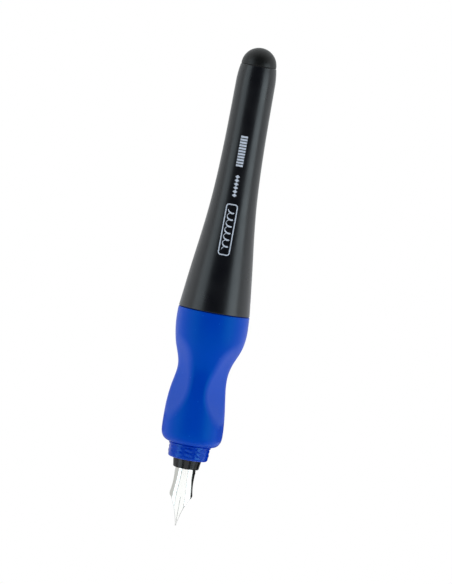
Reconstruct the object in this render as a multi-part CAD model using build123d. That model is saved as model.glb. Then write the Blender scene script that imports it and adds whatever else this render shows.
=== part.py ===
from build123d import *
from math import cos, pi, radians, sin
import os

# Dip pen holder with a pointed nib, in millimetres.
# Frame: the pen's axis is X and the nib points to +X. The origin is on the axis, on the
# front face of the rubber grip, where the cap seats. +Z is up when the pen lies on a desk:
# the grip's ridge and the nib's rounded side face up.

# Driving dimensions
NIB_REACH = 27.8          # origin to the nib's point
INSERT_REACH = 8.4        # origin to the nib insert's front face
COLLAR_LENGTH = 5.15      # cap collar, in front of the grip
GRIP_LENGTH = 45.4
BARREL_LENGTH = 83.25
DOME_RADIUS = 5.9         # tail plug's rounded end
COLLAR_ROOT_RADIUS = 6.75
CAP_SEAT_RADIUS = 7.1     # plain land that the cap slides over
CAP_SEAT_LENGTH = 0.8
INSERT_SHANK_RADIUS = 4.2
NIB_RADIUS = 3.5          # outside of the nib's rolled heel
NIB_THICKNESS = 0.25
RUNNING_FIT = 0.05        # radial clearance of parts that slide
PRESS_FIT = 0.03          # radial clearance kept between parts pressed together

GRIP_BACK = -GRIP_LENGTH
BARREL_BACK = GRIP_BACK - BARREL_LENGTH
STATIONS = 25             # sections along the grip
POINTS_AROUND = 48        # points around one section

# The grip is a round hourglass with three long finger scoops. Each scoop is
# (angle from the top towards +Y, distance of its floor from the axis where it is deepest,
# that place's x, and the floor's lengthwise radius towards the nib and towards the barrel).
SCOOPS = [
    (60, 6.75, -21.5, 25.0, 18.0),
    (-60, 7.15, -22.0, 28.0, 18.0),
    (180, 6.95, -22.0, 40.0, 36.0),
]
SCOOP_BLEND = 1.1         # how softly a scoop's edge is rounded over
# The round hourglass, from the front edge to the barrel: (x, radius).
RIDGE = [(0, 7.8), (-0.35, 8.6), (-1.6, 9.78), (-4.6, 10.34), (-10, 10.21), (-18, 9.76),
         (-26, 8.9), (-33, 11.0), (-39, 12.1), (GRIP_BACK, 12.05)]
# The barrel's outside, from the grip to its waist near the tail plug: (x, radius).
BARREL_OUTLINE = [(GRIP_BACK - 0.2, 12.0), (-59.3, 10.4), (-79.4, 8.0), (-97, 6.98), (-123.5, 6.6)]
BARREL_SHOULDER = (-126.3, 6.37)
BARREL_END_RADIUS = 6.08
BARREL_WALL = 0.8

CORE_RADIUS = 5.8
CORE_WAIST_RADIUS = 5.1   # thinner under the scoops
CORE_FRONT = -1.0
CORE_NECK = -8.0          # behind this the core is thinner
COLLAR_TAIL_RADIUS = 5.0
COLLAR_TAIL_LENGTH = 6.0
INSERT_BACK = -12.0
INSERT_BORE_RADIUS = NIB_RADIUS + RUNNING_FIT
INSERT_FLOOR = -9.0
FLANGE_RADIUS = 9.6
FLANGE_THICKNESS = 2.5
SPIGOT_RADIUS = 9.3
SPIGOT_LENGTH = 12.0
SPIGOT_BORE = 8.1
SNAP_X = GRIP_BACK - 8.0
SNAP_HEIGHT = 0.35
PLUG_RADIUS = 5.0
PLUG_LENGTH = 7.0
PLUG_WALL = 1.3
COLUMNS = 12              # thread lugs and flutes around the axis
COLUMN_STEP = 360 / COLUMNS


def rod(x0, x1, radius):
    """A cylinder along X from x0 to x1."""
    low, high = min(x0, x1), max(x0, x1)
    return Pos(low, 0, 0) * Rot(0, 90, 0) * Cylinder(
        radius, high - low, align=(Align.CENTER, Align.CENTER, Align.MIN))


def ring(x0, x1, outer, inner):
    return rod(x0, x1, outer) - rod(x0, x1, inner)


def turned(*edges):
    """Revolve an outline drawn in the XZ plane, in (x, radius), around the X axis."""
    return revolve(make_face([Plane.XZ * edge for edge in edges]), Axis.X)


def save(part, name):
    part.label = name
    export_step(part, f"parts/{name}.step")


# ---------------------------------------------------------------- nib

NIB_HEEL = -7.4
SLIT_LENGTH = 10.0
SLIT_WIDTH = 0.1
# The nib's shell opens out in front of its rolled heel: (x, height of the top line, radius).
NIB_SECTIONS = [(8.5, 3.5, 3.5), (12.5, 3.3, 3.85), (17, 2.95, 4.8),
                (22, 2.4, 4.8), (NIB_REACH + 1, 1.5, 4.0)]


def nib_shell(offset):
    circles = []
    for x, top, radius in NIB_SECTIONS:
        plane = Plane(origin=(x, 0, top - radius), x_dir=(0, 1, 0), z_dir=(1, 0, 0))
        circles.append(plane * Circle(radius - offset))
    return loft(circles) + rod(NIB_HEEL - 1, NIB_SECTIONS[0][0], NIB_RADIUS - offset)


def nib_outline():
    """Plan of the nib: parallel heel, shoulders, then a hollow taper to the point."""
    shoulder = 16.7
    corner = 18.5
    side = [
        Line((NIB_HEEL, 0), (NIB_HEEL, 3.6)),
        Line((NIB_HEEL, 3.6), (9, 3.6)),
        ThreePointArc((9, 3.6), (12.7, 3.43), (shoulder, 3.85)),
        ThreePointArc((shoulder, 3.85), (18.0, 3.65), (corner, 3.05)),
        ThreePointArc((corner, 3.05), (23.3, 1.13), (NIB_REACH, 0.12)),
        Line((NIB_REACH, 0.12), (NIB_REACH, 0)),
    ]
    half = make_face(side + [Line((NIB_REACH, 0), (NIB_HEEL, 0))])
    return half + mirror(half, Plane.XZ)


def nib():
    shell = nib_shell(0) - nib_shell(NIB_THICKNESS)
    body = shell & extrude(nib_outline(), 6)
    slit = Pos(NIB_REACH - SLIT_LENGTH, 0, 0) * Box(
        SLIT_LENGTH + 1, SLIT_WIDTH, 12, align=(Align.MIN, Align.CENTER, Align.CENTER))
    return body - slit


def nib_spring():
    """Four-leaf steel clamp that holds the nib's heel against the insert's bore."""
    leaf_radius = NIB_RADIUS - NIB_THICKNESS - RUNNING_FIT
    leaf_thickness = 0.5
    leaf_tip = 6.5
    slot_width = 1.2
    disc_thickness = 0.5
    leaves = ring(INSERT_FLOOR, leaf_tip, leaf_radius, leaf_radius - leaf_thickness)
    slots_start = INSERT_FLOOR + 2
    for angle in (45, 135):
        slot = Box(leaf_tip - slots_start + 2, 2 * NIB_RADIUS, slot_width,
                   align=(Align.MIN, Align.CENTER, Align.CENTER))
        leaves -= Rot(angle, 0, 0) * Pos(slots_start, 0, 0) * slot
    return leaves + rod(INSERT_FLOOR, INSERT_FLOOR + disc_thickness, NIB_RADIUS - RUNNING_FIT)


# ---------------------------------------------------------------- nib insert

def nib_insert():
    """Fluted plastic holder for the nib, pushed into the collar."""
    head_back = COLLAR_LENGTH + RUNNING_FIT
    shank = INSERT_SHANK_RADIUS
    wide, narrow, face = 4.78, 4.38, 3.85    # the head's radius at its back, nose and front face
    nose = 0.6
    nose_x = INSERT_REACH - nose
    outline = [
        Line((INSERT_BACK, 0), (INSERT_BACK, shank)),
        Line((INSERT_BACK, shank), (head_back, shank)),
        Line((head_back, shank), (head_back, wide)),
        Line((head_back, wide), (nose_x, narrow)),
        RadiusArc((nose_x, narrow), (INSERT_REACH, face), nose),
        Line((INSERT_REACH, face), (INSERT_REACH, 0)),
        Line((INSERT_REACH, 0), (INSERT_BACK, 0)),
    ]
    body = turned(*outline)
    flute_radius = 0.5
    flute_depth = 0.4
    flute_start = head_back + 0.25
    flute_centre = (wide + narrow) / 2 + flute_radius - flute_depth
    for column in range(COLUMNS):
        angle = (column + 0.5) * COLUMN_STEP
        flute = Pos(0, 0, flute_centre) * rod(flute_start, INSERT_REACH + 1, flute_radius)
        body -= Rot(angle, 0, 0) * flute
    drain_radius = 0.8
    bore = rod(INSERT_FLOOR, INSERT_REACH + 1, INSERT_BORE_RADIUS)
    return body - bore - rod(INSERT_BACK - 1, INSERT_FLOOR + 1, drain_radius)


# ---------------------------------------------------------------- cap collar

def cap_collar():
    """Hard ring that clamps the grip's front edge and carries the cap's quick thread."""
    rim = 0.8
    root = COLLAR_ROOT_RADIUS
    outline = [
        Line((0, 0), (0, root)),
        Line((0, root), (COLLAR_LENGTH - rim, root)),
        RadiusArc((COLLAR_LENGTH - rim, root), (COLLAR_LENGTH, root - rim), rim),
        Line((COLLAR_LENGTH, root - rim), (COLLAR_LENGTH, 0)),
        Line((COLLAR_LENGTH, 0), (0, 0)),
    ]
    body = turned(*outline) + rod(0, CAP_SEAT_LENGTH, CAP_SEAT_RADIUS)
    lug_height = 0.3
    lug_half_angle = 9.5
    lug_thickness = 0.75
    lug_slant = 0.23
    half = (root + lug_height) * sin(radians(lug_half_angle))
    for row_x in (1.65, 3.05):
        low, high = row_x - lug_thickness / 2, row_x + lug_thickness / 2
        plan = Polygon((low - lug_slant, -half), (low + lug_slant, half),
                       (high + lug_slant, half), (high - lug_slant, -half), align=None)
        lug = Pos(0, 0, root - 0.5) * extrude(plan, 1.5) & rod(0, COLLAR_LENGTH, root + lug_height)
        for column in range(COLUMNS):
            body += Rot(column * COLUMN_STEP, 0, 0) * lug
    body += rod(-COLLAR_TAIL_LENGTH, 0, COLLAR_TAIL_RADIUS)
    return body - rod(-COLLAR_TAIL_LENGTH - 1, COLLAR_LENGTH + 1, INSERT_SHANK_RADIUS + RUNNING_FIT)


# ---------------------------------------------------------------- grip

def grip_core():
    """Hard plastic core: stem under the rubber, flange and the spigot for the barrel."""
    body = rod(CORE_FRONT, CORE_NECK, CORE_RADIUS)
    body += rod(CORE_NECK, GRIP_BACK, CORE_WAIST_RADIUS)
    body += rod(GRIP_BACK, GRIP_BACK + FLANGE_THICKNESS, FLANGE_RADIUS)
    body += rod(GRIP_BACK - SPIGOT_LENGTH, GRIP_BACK, SPIGOT_RADIUS)
    bead = turned(
        Line((SNAP_X - 1, 0), (SNAP_X - 1, SPIGOT_RADIUS)),
        Line((SNAP_X - 1, SPIGOT_RADIUS), (SNAP_X, SPIGOT_RADIUS + SNAP_HEIGHT)),
        Line((SNAP_X, SPIGOT_RADIUS + SNAP_HEIGHT), (SNAP_X + 1, SPIGOT_RADIUS)),
        Line((SNAP_X + 1, SPIGOT_RADIUS), (SNAP_X + 1, 0)),
        Line((SNAP_X + 1, 0), (SNAP_X - 1, 0)))
    body += bead
    body -= rod(GRIP_BACK - SPIGOT_LENGTH - 1, GRIP_BACK + 1, SPIGOT_BORE)
    body -= rod(-COLLAR_TAIL_LENGTH - PRESS_FIT, 0, COLLAR_TAIL_RADIUS + PRESS_FIT)
    return body - rod(INSERT_BACK - 0.5, 0, INSERT_SHANK_RADIUS + RUNNING_FIT)


def fade(x, centre, forward, back):
    """1 at the centre, falling smoothly to 0 at the two reaches."""
    reach = forward if x > centre else back
    return cos(min(abs(x - centre) / reach, 1) * pi / 2) ** 2


def sway(x):
    """The grip's centreline bends slightly sideways, to follow the hand."""
    return 0.22 * fade(x, -36, 9, 9) - 0.5 * fade(x, -17.5, 17.5, 11)


def smooth_min(a, b):
    mix = min(max(0.5 + 0.5 * (b - a) / SCOOP_BLEND, 0), 1)
    return b * (1 - mix) + a * mix - SCOOP_BLEND * mix * (1 - mix)


def grip_radius(x, angle, ridge_radius):
    radius = ridge_radius
    for middle, depth, centre, front_curve, back_curve in SCOOPS:
        curve = front_curve if x > centre else back_curve
        floor = depth + (x - centre) ** 2 / (2 * curve)
        turn = abs((angle - middle + 180) % 360 - 180)
        radius = smooth_min(radius, floor / max(cos(radians(turn)), 0.2))
    return radius


def grip_section(x, ridge_radius):
    points = []
    for step in range(POINTS_AROUND):
        angle = 360 * step / POINTS_AROUND
        radius = grip_radius(x, angle, ridge_radius)
        side, up = sin(radians(angle)), cos(radians(angle))
        points.append((x, sway(x) + radius * side, radius * up))
    return make_face(Spline(*points, periodic=True))


def grip_sleeve():
    """Soft rubber sleeve with three finger scoops."""
    ridge = Spline(*RIDGE)
    sections = []
    for station in range(STATIONS):
        point = ridge @ (station / (STATIONS - 1))
        sections.append(grip_section(point.X, point.Y))
    body = loft(sections)
    edge = 0.25
    rim = RIDGE[-1][1]
    body -= turned(
        Line((GRIP_BACK - 1, rim + 1), (GRIP_BACK - 1, rim - 1 - edge)),
        Line((GRIP_BACK - 1, rim - 1 - edge), (GRIP_BACK + 1 + edge, rim + 1)),
        Line((GRIP_BACK + 1 + edge, rim + 1), (GRIP_BACK - 1, rim + 1)))
    body -= rod(CORE_NECK, CORE_FRONT, CORE_RADIUS + PRESS_FIT)
    body -= rod(GRIP_BACK - 1, CORE_NECK, CORE_WAIST_RADIUS + PRESS_FIT)
    body -= rod(CORE_FRONT, 1, COLLAR_TAIL_RADIUS + PRESS_FIT)
    return body - rod(GRIP_BACK - 1, GRIP_BACK + FLANGE_THICKNESS, FLANGE_RADIUS + PRESS_FIT)


# ---------------------------------------------------------------- barrel and tail

def barrel():
    """Hollow tapered handle, open at both ends."""
    (mouth_x, mouth_radius), waist = BARREL_OUTLINE[0], BARREL_OUTLINE[-1]
    edge = GRIP_BACK - mouth_x
    end_round = 0.5
    end = BARREL_END_RADIUS
    outline = [
        Line((GRIP_BACK, 0), (GRIP_BACK, mouth_radius - edge)),
        Line((GRIP_BACK, mouth_radius - edge), (mouth_x, mouth_radius)),
        Spline(*BARREL_OUTLINE),
        ThreePointArc(waist, BARREL_SHOULDER, (BARREL_BACK + end_round, end)),
        RadiusArc((BARREL_BACK + end_round, end), (BARREL_BACK, end - end_round), -end_round),
        Line((BARREL_BACK, end - end_round), (BARREL_BACK, 0)),
        Line((BARREL_BACK, 0), (GRIP_BACK, 0)),
    ]
    bore = SPIGOT_RADIUS + PRESS_FIT
    tail_bore = PLUG_RADIUS + RUNNING_FIT
    plug_stop = BARREL_BACK + PLUG_LENGTH + 2
    inside = [(x, radius - BARREL_WALL) for x, radius in BARREL_OUTLINE[2:4]]
    corners = [(GRIP_BACK + 1, 0), (GRIP_BACK + 1, bore), (GRIP_BACK - SPIGOT_LENGTH - 1, bore)]
    corners += inside
    corners += [(plug_stop + 1.5, waist[1] - BARREL_WALL), (plug_stop, tail_bore)]
    corners += [(BARREL_BACK - 1, tail_bore), (BARREL_BACK - 1, 0)]
    hollow = [Line(a, b) for a, b in zip(corners, corners[1:] + corners[:1])]
    groove = ring(SNAP_X - 1.1, SNAP_X + 1.1, SPIGOT_RADIUS + SNAP_HEIGHT + PRESS_FIT, bore - 1)
    return turned(*outline) - turned(*hollow) - groove


def tail_plug():
    """Domed hollow stopper pushed into the barrel's end."""
    skirt = 0.15
    hollow_depth = 3.2
    dome = rod(BARREL_BACK, BARREL_BACK - skirt, DOME_RADIUS)
    ball = Pos(BARREL_BACK - skirt, 0, 0) * Sphere(DOME_RADIUS)
    dome += ball - rod(BARREL_BACK - skirt, BARREL_BACK + 10, 20)
    stem = rod(BARREL_BACK, BARREL_BACK + PLUG_LENGTH, PLUG_RADIUS)
    hollow = rod(BARREL_BACK - hollow_depth, BARREL_BACK + PLUG_LENGTH + 1, PLUG_RADIUS - PLUG_WALL)
    return dome + stem - hollow


os.makedirs("parts", exist_ok=True)
save(nib(), "nib")
save(nib_spring(), "nib_spring")
save(nib_insert(), "nib_insert")
save(cap_collar(), "cap_collar")
save(grip_core(), "grip_core")
save(grip_sleeve(), "grip_sleeve")
save(barrel(), "barrel")
save(tail_plug(), "tail_plug")
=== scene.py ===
import math

import bmesh
import bpy
import numpy as np
from mathutils import Matrix, Vector


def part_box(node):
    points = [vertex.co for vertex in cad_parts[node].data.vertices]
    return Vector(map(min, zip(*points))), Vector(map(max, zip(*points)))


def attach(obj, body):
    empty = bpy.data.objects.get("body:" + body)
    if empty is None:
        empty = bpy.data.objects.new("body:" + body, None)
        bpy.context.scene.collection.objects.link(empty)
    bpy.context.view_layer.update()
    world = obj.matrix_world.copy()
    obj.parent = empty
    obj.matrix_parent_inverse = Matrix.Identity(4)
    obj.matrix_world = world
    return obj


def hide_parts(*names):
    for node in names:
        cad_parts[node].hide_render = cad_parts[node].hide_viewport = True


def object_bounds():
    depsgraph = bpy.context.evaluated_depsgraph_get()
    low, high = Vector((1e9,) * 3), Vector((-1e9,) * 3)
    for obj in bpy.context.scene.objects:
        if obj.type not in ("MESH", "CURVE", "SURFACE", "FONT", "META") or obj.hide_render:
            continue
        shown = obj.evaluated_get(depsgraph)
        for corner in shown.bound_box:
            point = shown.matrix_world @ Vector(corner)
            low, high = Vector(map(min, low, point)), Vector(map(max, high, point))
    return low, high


# Looks of the dip pen holder. The pen lies along X with its nib to +X; +Z is up, and X = 0 is
# the front face of the rubber grip. The pen's lengths are in millimetres and turned into metres
# by MM; the studio's are in metres.
MM = 0.001
MICRON = 0.000001

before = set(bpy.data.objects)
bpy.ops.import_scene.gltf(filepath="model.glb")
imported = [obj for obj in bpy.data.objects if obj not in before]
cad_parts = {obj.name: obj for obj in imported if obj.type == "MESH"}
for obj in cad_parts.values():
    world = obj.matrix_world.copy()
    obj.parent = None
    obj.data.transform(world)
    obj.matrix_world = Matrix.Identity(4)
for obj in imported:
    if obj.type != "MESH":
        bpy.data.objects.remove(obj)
cad_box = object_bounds()


def node_box(node):
    """Lowest and highest corner of a CAD node, in millimetres."""
    low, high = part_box(node)
    return low / MM, high / MM


# Places read from the frame
GRIP_BACK = node_box("grip_sleeve")[0].x
BARREL_BACK = node_box("barrel")[0].x
COLLAR_FRONT = node_box("cap_collar")[1].x
COLLAR_BACK = node_box("cap_collar")[0].x
INSERT_FRONT = node_box("nib_insert")[1].x
INSERT_BACK = node_box("nib_insert")[0].x
NIB_HEEL = node_box("nib")[0].x
NIB_TIP = node_box("nib")[1].x


# ---------------------------------------------------------------- meshes

def smooth_curve(points, count):
    """Natural cubic curve through the points, by chord length, sampled evenly."""
    knots = np.array(points, float)
    steps = np.linalg.norm(np.diff(knots, axis=0), axis=1)
    at = np.concatenate([[0], np.cumsum(steps)])
    last = len(at) - 1
    system = np.eye(last + 1)
    right = np.zeros_like(knots)
    for i in range(1, last):
        system[i, i - 1:i + 2] = steps[i - 1], 2 * (steps[i - 1] + steps[i]), steps[i]
        after = (knots[i + 1] - knots[i]) / steps[i]
        before = (knots[i] - knots[i - 1]) / steps[i - 1]
        right[i] = 6 * (after - before)
    bend = np.linalg.solve(system, right)
    out = []
    for t in np.linspace(0, at[-1], count):
        i = min(int(np.searchsorted(at, t, side="right")) - 1, last - 1)
        h, a, b = steps[i], at[i + 1] - t, t - at[i]
        cubic = (bend[i] * a ** 3 + bend[i + 1] * b ** 3) / (6 * h)
        line = (knots[i] / h - bend[i] * h / 6) * a + (knots[i + 1] / h - bend[i + 1] * h / 6) * b
        out.append(tuple(cubic + line))
    return out


def arc(centre, radius, start, end, count):
    """Points on an arc in (x, radius), angles in degrees from +X towards larger radius."""
    angles = [math.radians(start + (end - start) * i / (count - 1)) for i in range(count)]
    return [(centre[0] + radius * math.cos(a), centre[1] + radius * math.sin(a)) for a in angles]


def straight(start, end, count):
    """Evenly spaced points from the start to the end, both included."""
    return [(start[0] + (end[0] - start[0]) * i / (count - 1),
             start[1] + (end[1] - start[1]) * i / (count - 1)) for i in range(count)]


def new_object(name, vertices, faces, body, *nodes):
    """A smooth mesh object that rides on a body and stands for the given CAD nodes."""
    mesh = bpy.data.meshes.new(name)
    mesh.from_pydata([Vector(v) * MM for v in vertices], [], faces)
    mesh.validate()
    for polygon in mesh.polygons:
        polygon.use_smooth = True
    piece = bpy.data.objects.new(name, mesh)
    bpy.context.scene.collection.objects.link(piece)
    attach(piece, body)
    if nodes:
        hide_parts(*nodes)
    return piece


def face_outwards(piece):
    """Turn the faces of a closed mesh so that they all look outwards."""
    shell = bmesh.new()
    shell.from_mesh(piece.data)
    bmesh.ops.recalc_face_normals(shell, faces=shell.faces)
    shell.to_mesh(piece.data)
    shell.free()
    return piece


def round_point(x, radius, angle):
    """A point at an angle from the top towards +Y."""
    return x, radius * math.sin(angle), radius * math.cos(angle)


def turned_piece(name, profile, around, body, node, shape=round_point, closed=True):
    """Sweep a profile of (x, radius) round the X axis, through shape(x, radius, angle).

    A profile that isn't closed starts and ends next to the axis, and small caps close it there.
    """
    vertices = []
    for x, radius in profile:
        for step in range(around):
            angle = 2 * math.pi * step / around
            vertices.append(shape(x, radius, angle))
    faces = []
    rings = len(profile)
    for ring in range(rings if closed else rings - 1):
        here, there = ring * around, (ring + 1) % rings * around
        for step in range(around):
            beyond = (step + 1) % around
            faces.append((here + step, there + step, there + beyond, here + beyond))
    if not closed:
        last = (rings - 1) * around
        faces.append(tuple(range(around)))
        faces.append(tuple(range(last + around - 1, last - 1, -1)))
    return face_outwards(new_object(name, vertices, faces, body, node))


def smoothstep(low, high, value):
    """0 below low, 1 above high, and a soft rise between them."""
    t = min(max((value - low) / (high - low), 0), 1)
    return t * t * (3 - 2 * t)


# ---------------------------------------------------------------- materials

class Look:
    """A Principled material and short ways to add nodes to it.

    Other sockets are given by name, with _ for a space.
    """

    def __init__(self, name, colour, roughness, metallic=0.0, **sockets):
        self.material = bpy.data.materials.new(name)
        self.material.use_nodes = True
        self.tree = self.material.node_tree
        self.shader = self.tree.nodes["Principled BSDF"]
        self.shader.inputs["Base Color"].default_value = (*colour, 1)
        self.shader.inputs["Roughness"].default_value = roughness
        self.shader.inputs["Metallic"].default_value = metallic
        for socket, value in sockets.items():
            self.shader.inputs[socket.replace("_", " ")].default_value = value
        self.place = self.add("ShaderNodeTexCoord").outputs["Object"]

    def add(self, kind, **settings):
        node = self.tree.nodes.new(kind)
        for key, value in settings.items():
            setattr(node, key, value)
        return node

    def link(self, source, target):
        self.tree.links.new(source, target)

    def drive(self, socket, source):
        """Let a texture set one of the shader's sockets."""
        self.link(source, self.shader.inputs[socket])

    def stretched(self, scale):
        """Object coordinates scaled along X, Y and Z, for grain that runs along the pen."""
        mapping = self.add("ShaderNodeMapping")
        mapping.inputs["Scale"].default_value = scale
        self.link(self.place, mapping.inputs["Vector"])
        return mapping.outputs["Vector"]

    def noise(self, scale, detail=3.0, roughness=0.5, vector=None):
        node = self.add("ShaderNodeTexNoise")
        node.inputs["Scale"].default_value = scale
        node.inputs["Detail"].default_value = detail
        node.inputs["Roughness"].default_value = roughness
        self.link(vector or self.place, node.inputs["Vector"])
        return node.outputs["Fac"]

    def spread(self, value, low, high, from_low=0.3, from_high=0.7):
        """Map a texture value onto a range of numbers."""
        node = self.add("ShaderNodeMapRange")
        node.inputs["From Min"].default_value = from_low
        node.inputs["From Max"].default_value = from_high
        node.inputs["To Min"].default_value = low
        node.inputs["To Max"].default_value = high
        self.link(value, node.inputs["Value"])
        return node.outputs["Result"]

    def mix_colour(self, factor, first, second):
        node = self.add("ShaderNodeMix", data_type="RGBA")
        self.link(factor, node.inputs["Factor"])
        for socket, value in (("A", first), ("B", second)):
            target = [s for s in node.inputs if s.name == socket and s.type == "RGBA"][0]
            if isinstance(value, tuple):
                target.default_value = (*value, 1)
            else:
                self.link(value, target)
        return [s for s in node.outputs if s.type == "RGBA"][0]

    def bump(self, height, depth, strength):
        """Roughen the surface by a texture; the depth is in micrometres."""
        node = self.add("ShaderNodeBump")
        node.inputs["Strength"].default_value = strength
        node.inputs["Distance"].default_value = depth * MICRON
        self.link(height, node.inputs["Height"])
        self.drive("Normal", node.outputs["Normal"])


def dress(piece, look):
    """Give every material slot of a piece the look, adding a slot if it has none."""
    if not piece.data.materials:
        piece.data.materials.append(look.material)
    for place in piece.material_slots:
        place.material = look.material


def satin_black():
    """Moulded barrel: black satin plastic with a very fine eggshell texture."""
    look = Look("barrel_black_satin", (0.003, 0.0033, 0.0055), 0.3)
    grain = look.noise(5200, detail=2.0)
    cloud = look.noise(160, detail=4.0)
    look.drive("Roughness", look.spread(cloud, 0.27, 0.34))
    look.drive("Base Color", look.mix_colour(cloud, (0.0025, 0.0028, 0.005), (0.0035, 0.0038, 0.006)))
    look.bump(grain, 4, 0.35)
    return look


def matte_black():
    """Tail plug: duller black plastic with a spark-eroded texture."""
    look = Look("plug_black_matte", (0.003, 0.003, 0.003), 0.42, Specular_IOR_Level=0.38)
    grain = look.noise(3600, detail=3.0, roughness=0.65)
    look.drive("Roughness", look.spread(grain, 0.37, 0.47))
    look.drive("Base Color", look.mix_colour(grain, (0.0015, 0.0015, 0.0015), (0.005, 0.005, 0.005)))
    look.bump(grain, 10, 0.5)
    return look


def blue_rubber():
    """Grip: deep blue soft rubber, silky, with dust specks and faint flow marks."""
    look = Look("grip_blue_rubber", (0.0, 0.045, 0.48), 0.42,
                Specular_IOR_Level=0.32, Specular_Tint=(0.0, 0.75, 0.5, 1))
    cloud = look.noise(90, detail=3.0)
    tone = look.mix_colour(cloud, (0.0, 0.042, 0.46), (0.0, 0.048, 0.5))
    cells = look.add("ShaderNodeTexVoronoi")
    cells.inputs["Scale"].default_value = 420
    look.link(look.place, cells.inputs["Vector"])
    speck = look.spread(cells.outputs["Distance"], 1.0, 0.0, 0.03, 0.08)
    look.drive("Base Color", look.mix_colour(speck, tone, (0.02, 0.12, 0.65)))
    silk = look.noise(2600, detail=3.0, roughness=0.6)
    look.drive("Roughness", look.spread(silk, 0.38, 0.46))
    look.bump(silk, 6, 0.4)
    return look


def glossy_blue():
    """Collar: harder, glossier and a shade deeper than the rubber."""
    look = Look("collar_blue_gloss", (0.0, 0.036, 0.46), 0.24, Specular_Tint=(0.2, 0.7, 1.0, 1))
    cloud = look.noise(700, detail=3.0)
    look.drive("Roughness", look.spread(cloud, 0.14, 0.22))
    look.drive("Base Color", look.mix_colour(cloud, (0.0, 0.031, 0.4), (0.0, 0.037, 0.45)))
    look.bump(look.noise(6000, detail=2.0), 2, 0.15)
    return look


def glossy_black():
    """Nib insert: glossy black plastic with light handling marks."""
    look = Look("insert_black_gloss", (0.005, 0.005, 0.0055), 0.2, Specular_IOR_Level=0.42)
    marks = look.noise(900, detail=5.0, roughness=0.7)
    look.drive("Roughness", look.spread(marks, 0.22, 0.34))
    look.bump(look.noise(2200, detail=2.0), 6, 0.3)
    return look


def nib_steel():
    """Nib: nickel-bright steel, polished along its length."""
    look = Look("nib_bright_steel", (0.88, 0.89, 0.87), 0.12, metallic=1.0)
    lines = look.noise(1.0, detail=4.0, vector=look.stretched((90, 9000, 9000)))
    look.drive("Roughness", look.spread(lines, 0.08, 0.18))
    look.bump(lines, 1.5, 0.5)
    return look


def edge_steel_and_painted_shade():
    """The nib's stamped outline and slit, ground grey, and painted much darker than steel as the shade
    along the edges and in the slit.
    """
    # the dark colour is painted shade on top of the ground grey
    look = Look("nib_edge_painted_shade", (0.1, 0.1, 0.1), 0.4, metallic=1.0)
    marks = look.noise(6000, detail=3.0)
    look.drive("Roughness", look.spread(marks, 0.34, 0.5))
    return look


def spring_steel():
    """Clamp inside the insert: plain rolled spring steel."""
    look = Look("clamp_spring_steel", (0.5, 0.5, 0.49), 0.3, metallic=1.0)
    lines = look.noise(1.0, detail=3.0, vector=look.stretched((120, 4000, 4000)))
    look.drive("Roughness", look.spread(lines, 0.24, 0.4))
    return look


def core_plastic():
    """Hidden core: unpolished dark plastic."""
    look = Look("core_plastic", (0.02, 0.02, 0.022), 0.45)
    grain = look.noise(1800, detail=3.0)
    look.drive("Roughness", look.spread(grain, 0.4, 0.55))
    look.bump(grain, 10, 0.3)
    return look


def white_ink():
    """Pad print: thin white ink, slightly patchy."""
    look = Look("print_white_ink", (0.62, 0.66, 0.76), 0.5)
    patch = look.noise(2400, detail=4.0, roughness=0.7)
    look.drive("Base Color", look.mix_colour(patch, (0.42, 0.46, 0.56), (0.78, 0.82, 0.92)))
    look.drive("Roughness", look.spread(patch, 0.42, 0.6))
    return look


# ---------------------------------------------------------------- grip sleeve

# The grip is a round hourglass with three long finger scoops. Each scoop is
# (angle from the top towards +Y, distance of its floor from the axis where it is deepest,
# that place's x, and the floor's lengthwise radius towards the nib and towards the barrel).
SCOOPS = [
    (60, 6.75, -21.5, 25.0, 18.0),
    (-60, 7.15, -22.0, 28.0, 18.0),
    (180, 6.95, -22.0, 40.0, 36.0),
]
SCOOP_BLEND = 1.1       # how softly a scoop's edge is rounded over
# The round hourglass, from the front edge to the barrel: (x, radius).
RIDGE = [(0, 7.8), (-0.35, 8.6), (-1.6, 9.78), (-4.6, 10.34), (-10, 10.21), (-18, 9.76),
         (-26, 8.9), (-33, 11.0), (-39, 12.1), (GRIP_BACK, 12.05)]
# The bore: narrow round the collar's tail, wider round the core's neck, narrow round its waist.
NECK_FRONT = -1
NECK_BACK = -8
TAIL_BORE = 5.03
NECK_BORE = 5.83
WAIST_BORE = 5.13
RECESS_RADIUS = 9.63    # for the core's flange
RECESS_LENGTH = 2.5


def fade(x, centre, forward, back):
    """1 at the centre, falling smoothly to 0 at the two reaches."""
    reach = forward if x > centre else back
    return math.cos(min(abs(x - centre) / reach, 1) * math.pi / 2) ** 2


def sway(x):
    """The grip's centreline bends slightly sideways, to follow the hand."""
    return 0.22 * fade(x, -36, 9, 9) - 0.5 * fade(x, -17.5, 17.5, 11)


def smooth_min(a, b):
    """The smaller of two radii, with the corner between them rounded."""
    mix = min(max(0.5 + 0.5 * (b - a) / SCOOP_BLEND, 0), 1)
    return b * (1 - mix) + a * mix - SCOOP_BLEND * mix * (1 - mix)


def grip_point(x, radius, angle):
    """The scoops cut into the outside; the bore and the flange's recess stay round."""
    in_recess = radius <= RECESS_RADIUS and x <= GRIP_BACK + RECESS_LENGTH
    if radius <= NECK_BORE or in_recess:
        return round_point(x, radius, angle)
    for middle, depth, centre, front_curve, back_curve in SCOOPS:
        curve = front_curve if x > centre else back_curve
        floor = depth + (x - centre) ** 2 / (2 * curve)
        turn = abs((math.degrees(angle) - middle + 180) % 360 - 180)
        radius = smooth_min(radius, floor / max(math.cos(math.radians(turn)), 0.2))
    x, side, up = round_point(x, radius, angle)
    return x, sway(x) + side, up


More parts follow.
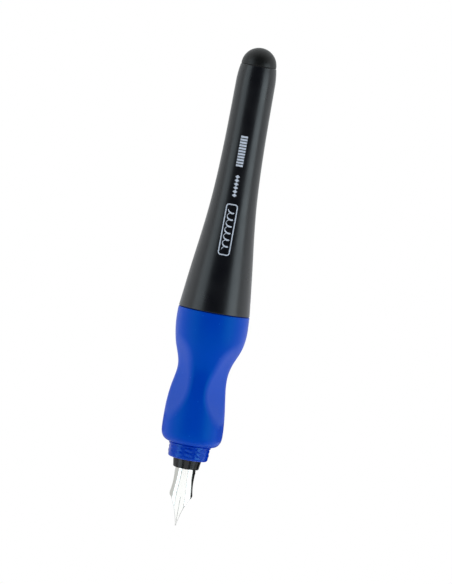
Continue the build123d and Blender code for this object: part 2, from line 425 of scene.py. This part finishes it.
def grip_sleeve():
    """The soft sleeve, with a narrow shadow gap between its back edge and the barrel."""
    lip_round = 0.1
    gap_width, gap_depth = 0.3, 0.8
    lip_x = GRIP_BACK + gap_width
    rim = RIDGE[-1][1]
    ridge = [point for point in smooth_curve(RIDGE, 240) if point[0] > lip_x + lip_round]
    front = straight((0, 5.2), (0, RIDGE[0][1] - 0.05), 6)
    lip = arc((lip_x + lip_round, rim - lip_round), lip_round, 90, 180, 6)
    back = straight((lip_x, rim - 0.3), (lip_x, rim - gap_depth), 4)
    back += straight((GRIP_BACK, rim - gap_depth - 0.05), (GRIP_BACK, RECESS_RADIUS + 0.12), 4)
    recess_x = GRIP_BACK + RECESS_LENGTH
    recess = [(GRIP_BACK, RECESS_RADIUS), (recess_x, RECESS_RADIUS), (recess_x, WAIST_BORE)]
    bore = [(NECK_BACK, WAIST_BORE), (NECK_BACK, NECK_BORE), (NECK_FRONT, NECK_BORE),
            (NECK_FRONT, TAIL_BORE), (0, TAIL_BORE)]
    profile = front + ridge + lip + back + recess + bore
    return turned_piece("grip_sleeve_moulded", profile, 288, "holder", "grip_sleeve",
                        shape=grip_point)


# ---------------------------------------------------------------- barrel and tail plug

MOUTH_EDGE = 0.12       # rounding of the barrel's front edge
# The barrel's outside, from the grip to its waist near the tail plug: (x, radius).
BARREL_OUTLINE = [(GRIP_BACK - MOUTH_EDGE, 12.0), (-59.3, 10.4), (-79.4, 8.0), (-97, 6.98),
                  (-123.5, 6.6)]
BARREL_SHOULDER = (-126.3, 6.37)
BARREL_END = 6.08
BARREL_WALL = 0.8
MOUTH_BORE = 9.33       # the core's spigot fits in it
MOUTH_LENGTH = 13
PLUG_STEM = 5.0
PLUG_WALL = 1.3
PLUG_STOP = BARREL_BACK + 9


def barrel():
    """The hollow tapered handle, open at both ends."""
    end_round = 0.5
    bore = PLUG_STEM + 0.05
    waist, mouth_radius = BARREL_OUTLINE[-1], BARREL_OUTLINE[0][1]
    end_x = BARREL_BACK + end_round
    outside = smooth_curve(BARREL_OUTLINE, 150)
    shoulder = smooth_curve([waist, BARREL_SHOULDER, (end_x, BARREL_END)], 16)
    mouth = arc((GRIP_BACK - MOUTH_EDGE, mouth_radius - MOUTH_EDGE), MOUTH_EDGE, 0, 90, 6)
    end = arc((end_x, BARREL_END - end_round), end_round, 90, 180, 10)
    inside = straight((BARREL_BACK, bore), (PLUG_STOP, bore), 12)
    hollow = [(PLUG_STOP + 1.5, waist[1] - BARREL_WALL)]
    hollow += [(x, radius - BARREL_WALL) for x, radius in BARREL_OUTLINE[3:1:-1]]
    hollow += [(GRIP_BACK - MOUTH_LENGTH, MOUTH_BORE), (GRIP_BACK, MOUTH_BORE)]
    profile = mouth + outside[1:] + shoulder[1:] + end[1:] + inside + hollow
    return turned_piece("barrel_shell", profile, 192, "holder", "barrel")


def tail_plug():
    """A hollow stem under a dome, with a rounded rim at the seam."""
    radius = node_box("tail_plug")[1].z
    stem_front = node_box("tail_plug")[1].x
    skirt = 0.15
    seam = 0.12
    draft = 0.15
    hollow_x = BARREL_BACK - 3.2
    hollow_radius = PLUG_STEM - PLUG_WALL
    hollow = [(hollow_x, 0.02), (hollow_x, hollow_radius), (stem_front, hollow_radius)]
    shaft = straight((stem_front, PLUG_STEM - draft), (BARREL_BACK + 0.05, PLUG_STEM), 12)
    rim = arc((BARREL_BACK - seam, radius - seam), seam, 0, 90, 6)
    dome = arc((BARREL_BACK - skirt, 0), radius, 92, 179.6, 60)
    profile = hollow + shaft + rim + dome
    return turned_piece("tail_plug_dome", profile, 160, "tail_plug", "tail_plug", closed=False)


# ---------------------------------------------------------------- collar and nib insert

COLUMNS = 12
COLUMN_STEP = 360 / COLUMNS
COLLAR_ROOT = 6.75
LUG_ROWS = (1.65, 3.05)
LUG_HEIGHT = 0.16
LUG_SLANT = 0.02        # millimetres along the pen for each degree round it
LUG_HALF_ANGLE = 13.5
LUG_HALF_LENGTH = 0.78
FLUTE_HALF_ANGLE = 6.5
FLUTE_DEPTH = 0.5
FLUTE_FADE = (4.1, 4.3)    # radii between which a flute dies out towards the front face


def column_offset(angle):
    """Degrees from the middle of the nearest column of lugs."""
    return (math.degrees(angle) + COLUMN_STEP / 2) % COLUMN_STEP - COLUMN_STEP / 2


def hump(offset, reach):
    """1 in the middle, falling smoothly to 0 at the reach on both sides."""
    return math.cos(min(abs(offset) / reach, 1) * math.pi / 2) ** 1.5


def collar_point(x, radius, angle):
    """Two rows of short slanted thread lugs stand out of the collar's root."""
    if radius >= COLLAR_ROOT - 0.01:
        offset = column_offset(angle)
        rows = [hump(x - row - LUG_SLANT * offset, LUG_HALF_LENGTH) for row in LUG_ROWS]
        radius += LUG_HEIGHT * max(rows) * hump(offset, LUG_HALF_ANGLE)
    return round_point(x, radius, angle)


def cap_collar():
    """Tail inside the grip, plain land for the cap, threaded root and rounded front rim."""
    root = COLLAR_ROOT
    land = node_box("cap_collar")[1].z
    land_front = 0.8
    tail = 5.0
    rim = 0.8
    bore = 4.25
    edge = 0.1
    mouth_round = 0.2
    behind = [(COLLAR_BACK, bore), (COLLAR_BACK, tail - 0.05), (0, tail), (0, land)]
    step = arc((land_front - edge, land - edge), edge, 90, 0, 5)
    body = straight((land_front + edge, root), (COLLAR_FRONT - rim, root), 60)
    front = arc((COLLAR_FRONT - rim, root - rim), rim, 90, 0, 18)
    mouth = arc((COLLAR_FRONT - mouth_round, bore + mouth_round), mouth_round, 0, -90, 6)
    profile = behind + step + body + front[1:] + mouth
    return turned_piece("cap_collar_thread", profile, 480, "holder", "cap_collar", shape=collar_point)


def insert_point(x, radius, angle):
    """Flutes between the columns of the insert's head."""
    if x > COLLAR_FRONT:
        across = hump(COLUMN_STEP / 2 - abs(column_offset(angle)), FLUTE_HALF_ANGLE)
        along = smoothstep(COLLAR_FRONT + 0.2, COLLAR_FRONT + 0.5, x)
        radius -= FLUTE_DEPTH * across * along * smoothstep(*FLUTE_FADE, radius)
    return round_point(x, radius, angle)


def nib_insert():
    """Plain shank, fluted head with a rounded nose, bore for the nib and a drain hole."""
    shank = 4.2
    bore = 3.55
    drain = 0.8
    bore_back = -9
    wide, narrow, face = 4.78, 4.38, 3.85    # the head's radius at its back, nose and front face
    nose = 0.6
    lead_in = 0.15
    edge = 0.06
    head_back = COLLAR_FRONT + 0.05
    shaft = [(INSERT_BACK, shank - lead_in), (INSERT_BACK + lead_in, shank), (head_back - 0.02, shank)]
    head = [(head_back, wide - edge)]
    head += straight((head_back + edge, wide), (INSERT_FRONT - nose, narrow), 28)
    front = arc((INSERT_FRONT - nose, narrow - nose), nose, 86, 5, 14)
    mouth = [(INSERT_FRONT, face - 0.1), (INSERT_FRONT, bore + edge), (INSERT_FRONT - edge, bore)]
    inside = [(bore_back, bore), (bore_back, drain), (INSERT_BACK, drain)]
    profile = shaft + head + front + mouth + inside
    return turned_piece("nib_insert_fluted", profile, 400, "insert", "nib_insert", shape=insert_point)


# ---------------------------------------------------------------- nib

NIB_THICKNESS = 0.25
HEEL_RADIUS = 3.5
HEEL_FRONT = 8.5        # in front of it the rolled heel opens out
SLIT_START = NIB_TIP - 10.0
SLIT_WIDTH = 0.03
CUT_EDGE = 0.1          # width of the ground strip along the outline and slit, painted dark as shade
CHAMFER = 0.06          # how far that strip drops
# The shell's top line and radius: (x, height, radius).
NIB_SHELL = [(HEEL_FRONT, HEEL_RADIUS, HEEL_RADIUS), (12.5, 3.3, 3.85), (17, 2.95, 4.8),
             (22, 2.4, 4.8), (NIB_TIP + 1, 1.5, 4.0)]
# The outline: where the waist starts, its middle, the shoulder, its bulge, the corner, the
# hollow taper's middle and the point, each (x, half width).
WAIST_START, WAIST = (9, 3.6), (12.7, 3.43)
SHOULDER, BULGE, CORNER = (16.7, 3.85), (18.0, 3.65), (18.5, 3.05)
TAPER, POINT = (23.3, 1.13), (NIB_TIP, 0.12)


def through(a, b, c, x):
    """Radius of the circle arc through three points of (x, half width), read at x."""
    (ax, ay), (bx, by), (cx, cy) = a, b, c
    d = 2 * (ax * (by - cy) + bx * (cy - ay) + cx * (ay - by))
    aa, bb, cc = ax * ax + ay * ay, bx * bx + by * by, cx * cx + cy * cy
    ux = (aa * (by - cy) + bb * (cy - ay) + cc * (ay - by)) / d
    uy = (aa * (cx - bx) + bb * (ax - cx) + cc * (bx - ax)) / d
    reach = math.sqrt(max((ax - ux) ** 2 + (ay - uy) ** 2 - (x - ux) ** 2, 0))
    return uy + reach if by > uy else uy - reach


def nib_half_width(x):
    """Half the width of the nib's outline at x."""
    if x < WAIST_START[0]:
        return HEEL_RADIUS
    if x < SHOULDER[0]:
        flare = HEEL_RADIUS + 0.08 * (x - WAIST_START[0])
        return min(through(WAIST_START, WAIST, SHOULDER, x), flare)
    if x < CORNER[0]:
        return through(SHOULDER, BULGE, CORNER, x)
    return through(CORNER, TAPER, POINT, x)


NIB_CURVE = np.array(smooth_curve(NIB_SHELL, 300))


def nib_shell_at(x):
    """Height of the nib's top line and the radius of its shell at x."""
    if x <= HEEL_FRONT:
        return HEEL_RADIUS, HEEL_RADIUS
    i = min(max(int(np.searchsorted(NIB_CURVE[:, 0], x)), 1), len(NIB_CURVE) - 1)
    share = (x - NIB_CURVE[i - 1, 0]) / (NIB_CURVE[i, 0] - NIB_CURVE[i - 1, 0])
    top, radius = NIB_CURVE[i - 1, 1:] * (1 - share) + NIB_CURVE[i, 1:] * share
    return top, radius


def nib_section(x, steps):
    """Half the nib's section at x, from the middle to the side: steps + 3 points of (side, up)."""
    top, radius = nib_shell_at(x)
    slit = x > SLIT_START
    start = math.asin((SLIT_WIDTH / 2 if slit else 0) / radius)
    end = math.asin(min(nib_half_width(x) / radius, 1))
    cut = min(CUT_EDGE / radius, 0.25 * (end - start))
    drop = CHAMFER * cut * radius / CUT_EDGE
    flat_start, flat_end = start + 0.5 * cut, end - cut
    flat = [(flat_start + (flat_end - flat_start) * i / steps, 0) for i in range(steps + 1)]
    spots = [(start, drop if slit else 0)] + flat + [(end, drop)]
    return [((radius - lower) * math.sin(angle), top - radius + (radius - lower) * math.cos(angle))
            for angle, lower in spots]


def nib():
    """Two halves of a thin curved plate, joined behind the slit, with a ground edge all round that is
    painted dark as shade.
    """
    # (start, end, number of sections), closest together at the shoulders
    stretches = [(NIB_HEEL, HEEL_FRONT, 24), (8.8, 16.4, 36), (16.6, 18.6, 26), (18.75, NIB_TIP, 70)]
    stations = [x for start, end, count in stretches for x in np.linspace(start, end, count)]
    steps = 24
    across = steps + 2
    vertices, faces, ground_and_shade_faces = [], [], []
    for half in (-1, 1):
        first = len(vertices)
        for x in stations:
            vertices += [(x, half * side, up) for side, up in nib_section(x, steps)]
        for row in range(len(stations) - 1):
            for step in range(across):
                a = first + row * (across + 1) + step
                b, c, d = a + 1, a + across + 2, a + across + 1
                faces.append((a, d, c, b) if half > 0 else (a, b, c, d))
                # faces of the ground strip along the outline and slit take the second material,
                # painted dark as shade
                edge = step == across - 1 or (step == 0 and stations[row] >= SLIT_START)
                ground_and_shade_faces.append(1 if edge else 0)
    piece = new_object("nib_plate", vertices, faces, "nib", "nib")
    piece.data.materials.append(nib_steel().material)
    # the second material paints the edge strips dark as shade
    piece.data.materials.append(edge_steel_and_painted_shade().material)
    piece.data.polygons.foreach_set("material_index", ground_and_shade_faces)
    weld = piece.modifiers.new("weld", "WELD")
    weld.merge_threshold = 0.002 * MM
    shell = piece.modifiers.new("thickness", "SOLIDIFY")
    shell.thickness = NIB_THICKNESS * MM
    shell.offset = -1
    shell.material_offset_rim = 1
    return piece


# ---------------------------------------------------------------- printing on the barrel

PRINT_HEIGHT = 0.03
PRINT_SINK = 0.05       # how deep the marks are let into the barrel
PRINT_MIDDLE = -0.35    # the frame lies slightly to one side of the barrel's top line
BARREL_CURVE = np.array(smooth_curve(BARREL_OUTLINE, 300))


def barrel_radius(x):
    return float(np.interp(-x, -BARREL_CURVE[:, 0], BARREL_CURVE[:, 1]))


def print_piece(name, strips, loops=()):
    """Lay strips of (left, right) pairs of (x, y) on the barrel's upper side as a thin raised film.

    A strip whose number is in loops runs back into its own start.
    """
    vertices, faces = [], []
    for number, strip in enumerate(strips):
        first = len(vertices)
        for pair in strip:
            for level in (-PRINT_SINK, PRINT_HEIGHT):
                for x, y in pair:
                    radius = barrel_radius(x)
                    vertices.append(round_point(x, radius + level, y / radius))
        count = len(strip)
        loop = number in loops
        for i in range(count if loop else count - 1):
            here, there = first + 4 * i, first + 4 * ((i + 1) % count)
            for a, b in ((0, 1), (1, 3), (3, 2), (2, 0)):
                faces.append((here + a, here + b, there + b, there + a))
        if not loop:
            for end in (first, first + 4 * (count - 1)):
                faces.append((end, end + 1, end + 3, end + 2))
    piece = new_object(name, vertices, faces, "holder")
    for polygon in piece.data.polygons:
        polygon.use_smooth = False
    return face_outwards(piece)


def bar(x0, x1, y0, y1, pieces=6):
    """A bar across the barrel, in short steps so that it follows the curve."""
    rows = [y0 + (y1 - y0) * i / pieces for i in range(pieces + 1)]
    return [((x0, y), (x1, y)) for y in rows]


def ribbon(points, widths, loop=False):
    """A pen stroke: a strip along the points, with its own width at each."""
    strip = []
    count = len(points)
    for i, (x, y) in enumerate(points):
        x0, y0 = points[i - 1 if loop else max(i - 1, 0)]
        x1, y1 = points[(i + 1) % count if loop else min(i + 1, count - 1)]
        length = math.hypot(x1 - x0, y1 - y0)
        nx, ny = -(y1 - y0) / length, (x1 - x0) / length
        half = widths[i] / 2
        strip.append(((x + nx * half, y + ny * half), (x - nx * half, y - ny * half)))
    return strip


def rule_block():
    """A block of plain, even cross bars."""
    start, end, half, middle = -104.9, -94.3, 1.17, -0.4
    count = 11
    pitch = (end - start) / count
    thick = 0.68 * pitch
    places = [start + pitch * i for i in range(count)]
    return print_piece("print_rule_block",
                       [bar(x, x + thick, middle - half, middle + half) for x in places])


def diamond_row():
    """A short row of small diamonds."""
    start, end, half, middle = -91.8, -84.3, 0.8, -0.3
    count = 6
    point = 0.01
    long = (end - start) / count / 2 - point
    diamonds = []
    for i in range(count):
        x = start + (end - start) * (i + 0.5) / count
        diamonds.append([((x - w, middle + y), (x + w, middle + y))
                         for w, y in ((point, -half), (long, 0), (point, half))])
    return print_piece("print_diamond_row", diamonds)


def rounded_outline(start, end, half, corner, step):
    """Points of (x, y) round a rounded rectangle, its long sides cut into steps."""
    corners = []
    for x, y, first in ((end - corner, half - corner, 0), (start + corner, half - corner, 90),
                        (start + corner, corner - half, 180), (end - corner, corner - half, 270)):
        corners += arc((x, y + PRINT_MIDDLE), corner, first, first + 90, 7)
    outline = []
    for a, b in zip(corners, corners[1:] + corners[:1]):
        steps = max(int(math.dist(a, b) / step), 1)
        outline += straight(a, b, steps + 1)[:-1]
    return outline


def framed_flourish():
    """A rounded frame with a pen flourish inside."""
    start, end, half = -81.8, -64.9, 1.84
    outline = rounded_outline(start, end, half, corner=0.9, step=0.8)
    frame_line = ribbon(outline, [0.38] * len(outline), loop=True)
    loops = 6
    margin = 1.7
    swing, lean = 1.05, 0.55      # the loops' reach across and along the pen
    thin, swell = 0.2, 0.32
    stroke, widths = [], []
    count = loops * 20
    for i in range(count + 1):
        t = i / count
        turn = 2 * math.pi * loops * t
        x = start + margin + (end - start - 2 * margin) * t + lean * math.sin(turn)
        stroke.append((x, PRINT_MIDDLE - swing * math.cos(turn)))
        widths.append(thin + swell * max(math.sin(turn), 0))
    return print_piece("print_framed_flourish", [frame_line, ribbon(stroke, widths)], loops=(0,))


# ---------------------------------------------------------------- stage

def softbox(name, place, aim, size, radiance, colour=(1, 1, 1)):
    """A rectangular area light of known radiance; its first size runs along X as far as it can."""
    data = bpy.data.lights.new(name, "AREA")
    data.shape = "RECTANGLE"
    data.size, data.size_y = size
    data.energy = radiance * math.pi * size[0] * size[1]
    data.color = colour
    light = bpy.data.objects.new(name, data)
    bpy.context.scene.collection.objects.link(light)
    away = (Vector(place) - Vector(aim)).normalized()
    along = (Vector((1, 0, 0)) - away * away.x).normalized()
    turn = Matrix((along, away.cross(along), away)).transposed().to_4x4()
    light.matrix_world = Matrix.Translation(Vector(place)) @ turn
    light.visible_camera = False


def side_light(name, angle, width, length, radiance):
    """A long softbox beside the pen, its middle at an angle from straight up."""
    reach = 0.6
    middle = Vector((-0.05, 0, 0))
    place = middle + Vector(round_point(0, reach, math.radians(angle)))
    softbox(name, place, middle, (length, width), radiance, (0.86, 1.0, 1.06))


def lights():
    side_light("softbox_left", angle=-58, width=0.36, length=0.95, radiance=1.75)
    side_light("softbox_right", angle=58, width=0.36, length=0.55, radiance=2.9)
    softbox("front_card", place=(0.31, 0, 0.53), aim=(0.02, 0, 0), size=(0.5, 0.9), radiance=1.12)


def room():
    """A dark ceiling and pale walls for the reflections; plain white where it is seen directly."""
    world = bpy.data.worlds.new("studio")
    bpy.context.scene.world = world
    world.use_nodes = True
    tree = world.node_tree
    walls = tree.nodes["Background"]
    where = tree.nodes.new("ShaderNodeTexCoord")
    split = tree.nodes.new("ShaderNodeSeparateXYZ")
    height = tree.nodes.new("ShaderNodeMapRange")
    height.inputs["From Min"].default_value = 0.16
    height.inputs["From Max"].default_value = 0.52
    height.inputs["To Min"].default_value = 0.85
    height.inputs["To Max"].default_value = 0.02
    tree.links.new(where.outputs["Generated"], split.inputs[0])
    tree.links.new(split.outputs["Z"], height.inputs["Value"])
    tree.links.new(height.outputs["Result"], walls.inputs["Strength"])
    walls.inputs["Color"].default_value = (0.97, 1.0, 1.0, 1)
    seen = tree.nodes.new("ShaderNodeBackground")
    seen.inputs["Color"].default_value = (1, 1, 1, 1)
    path = tree.nodes.new("ShaderNodeLightPath")
    mix = tree.nodes.new("ShaderNodeMixShader")
    tree.links.new(path.outputs["Is Camera Ray"], mix.inputs["Fac"])
    tree.links.new(walls.outputs[0], mix.inputs[1])
    tree.links.new(seen.outputs[0], mix.inputs[2])
    tree.links.new(mix.outputs[0], tree.nodes["World Output"].inputs["Surface"])


def sheet(name, corners):
    """A flat four-cornered object of the stage."""
    mesh = bpy.data.meshes.new(name)
    mesh.from_pydata(corners, [], [(0, 1, 2, 3)])
    piece = bpy.data.objects.new(name, mesh)
    bpy.context.scene.collection.objects.link(piece)
    return piece


def floor():
    """White table. Seen directly it is burnt out; the pen reflects it with its soft shadow."""
    half = 3.0
    z = cad_box[0].z
    table = sheet("table", [(-half, -half, z), (half, -half, z), (half, half, z), (-half, half, z)])
    look = Look("white_table", (0.8, 0.8, 0.8), 0.9, Specular_IOR_Level=0.0,
                Emission_Color=(1, 1, 1, 1), Emission_Strength=0.5)
    burnt = look.add("ShaderNodeEmission")
    path = look.add("ShaderNodeLightPath")
    mix = look.add("ShaderNodeMixShader")
    look.link(path.outputs["Is Camera Ray"], mix.inputs["Fac"])
    look.link(look.shader.outputs[0], mix.inputs[1])
    look.link(burnt.outputs[0], mix.inputs[2])
    look.link(mix.outputs[0], look.tree.nodes["Material Output"].inputs["Surface"])
    dress(table, look)


def flag(name, start, end, y, top, shade):
    """A card standing beside the pen, unseen by the camera, that darkens reflections in its sides.

    Its places are in millimetres, like the pen's.
    """
    x0, x1, z = start * MM, end * MM, cad_box[0].z
    y, top = y * MM, top * MM
    card = sheet(name, [(x0, y, z), (x1, y, z), (x1, y, top), (x0, y, top)])
    look = Look(name, (0.002, 0.002, 0.002), 1.0, Specular_IOR_Level=0.0,
                Emission_Color=(1, 1, 0.97, 1), Emission_Strength=shade)
    dress(card, look)
    card.visible_camera = False
    card.visible_diffuse = False
    card.visible_shadow = False


def camera():
    """Long lens above the pen, leaning a little towards the tail, the pen's tail at upper right."""
    tilt, roll = math.radians(3.3), math.radians(10.3)
    distance = 1.4
    aim = Vector((-0.05231, 0.00274, 0))
    forward = Vector((math.sin(tilt), 0, -math.cos(tilt)))
    tailward = Vector((-math.cos(tilt), 0, -math.sin(tilt)))
    side = Vector((0, 1, 0))
    up = tailward * math.cos(roll) - side * math.sin(roll)
    right = tailward * math.sin(roll) + side * math.cos(roll)
    data = bpy.data.cameras.new("camera")
    data.sensor_width = 36
    data.lens = 257.7
    data.clip_start, data.clip_end = 0.05, 20
    eye = bpy.data.objects.new("camera", data)
    bpy.context.scene.collection.objects.link(eye)
    rotation = Matrix((right, up, -forward)).transposed().to_4x4()
    eye.matrix_world = Matrix.Translation(aim - forward * distance) @ rotation
    bpy.context.scene.camera = eye


# ---------------------------------------------------------------- build

dress(grip_sleeve(), blue_rubber())
dress(barrel(), satin_black())
dress(tail_plug(), matte_black())
dress(cap_collar(), glossy_blue())
dress(nib_insert(), glossy_black())
nib()
dress(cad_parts["nib_spring"], spring_steel())
dress(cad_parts["grip_core"], core_plastic())
ink = white_ink()
for piece in (rule_block(), diamond_row(), framed_flourish()):
    dress(piece, ink)
floor()
flag("nib_black_flag", start=-2, end=26, y=9.5, top=2, shade=0.0)
flag("nib_grey_flag", start=-2, end=26, y=-10, top=5.5, shade=0.6)
flag("grip_flag_right", start=-9, end=-0.5, y=13.5, top=5, shade=0.1)
flag("grip_flag_left", start=-9, end=-0.5, y=-14, top=1, shade=0.3)
lights()
room()
camera()
bpy.context.scene.view_settings.view_transform = "Standard"
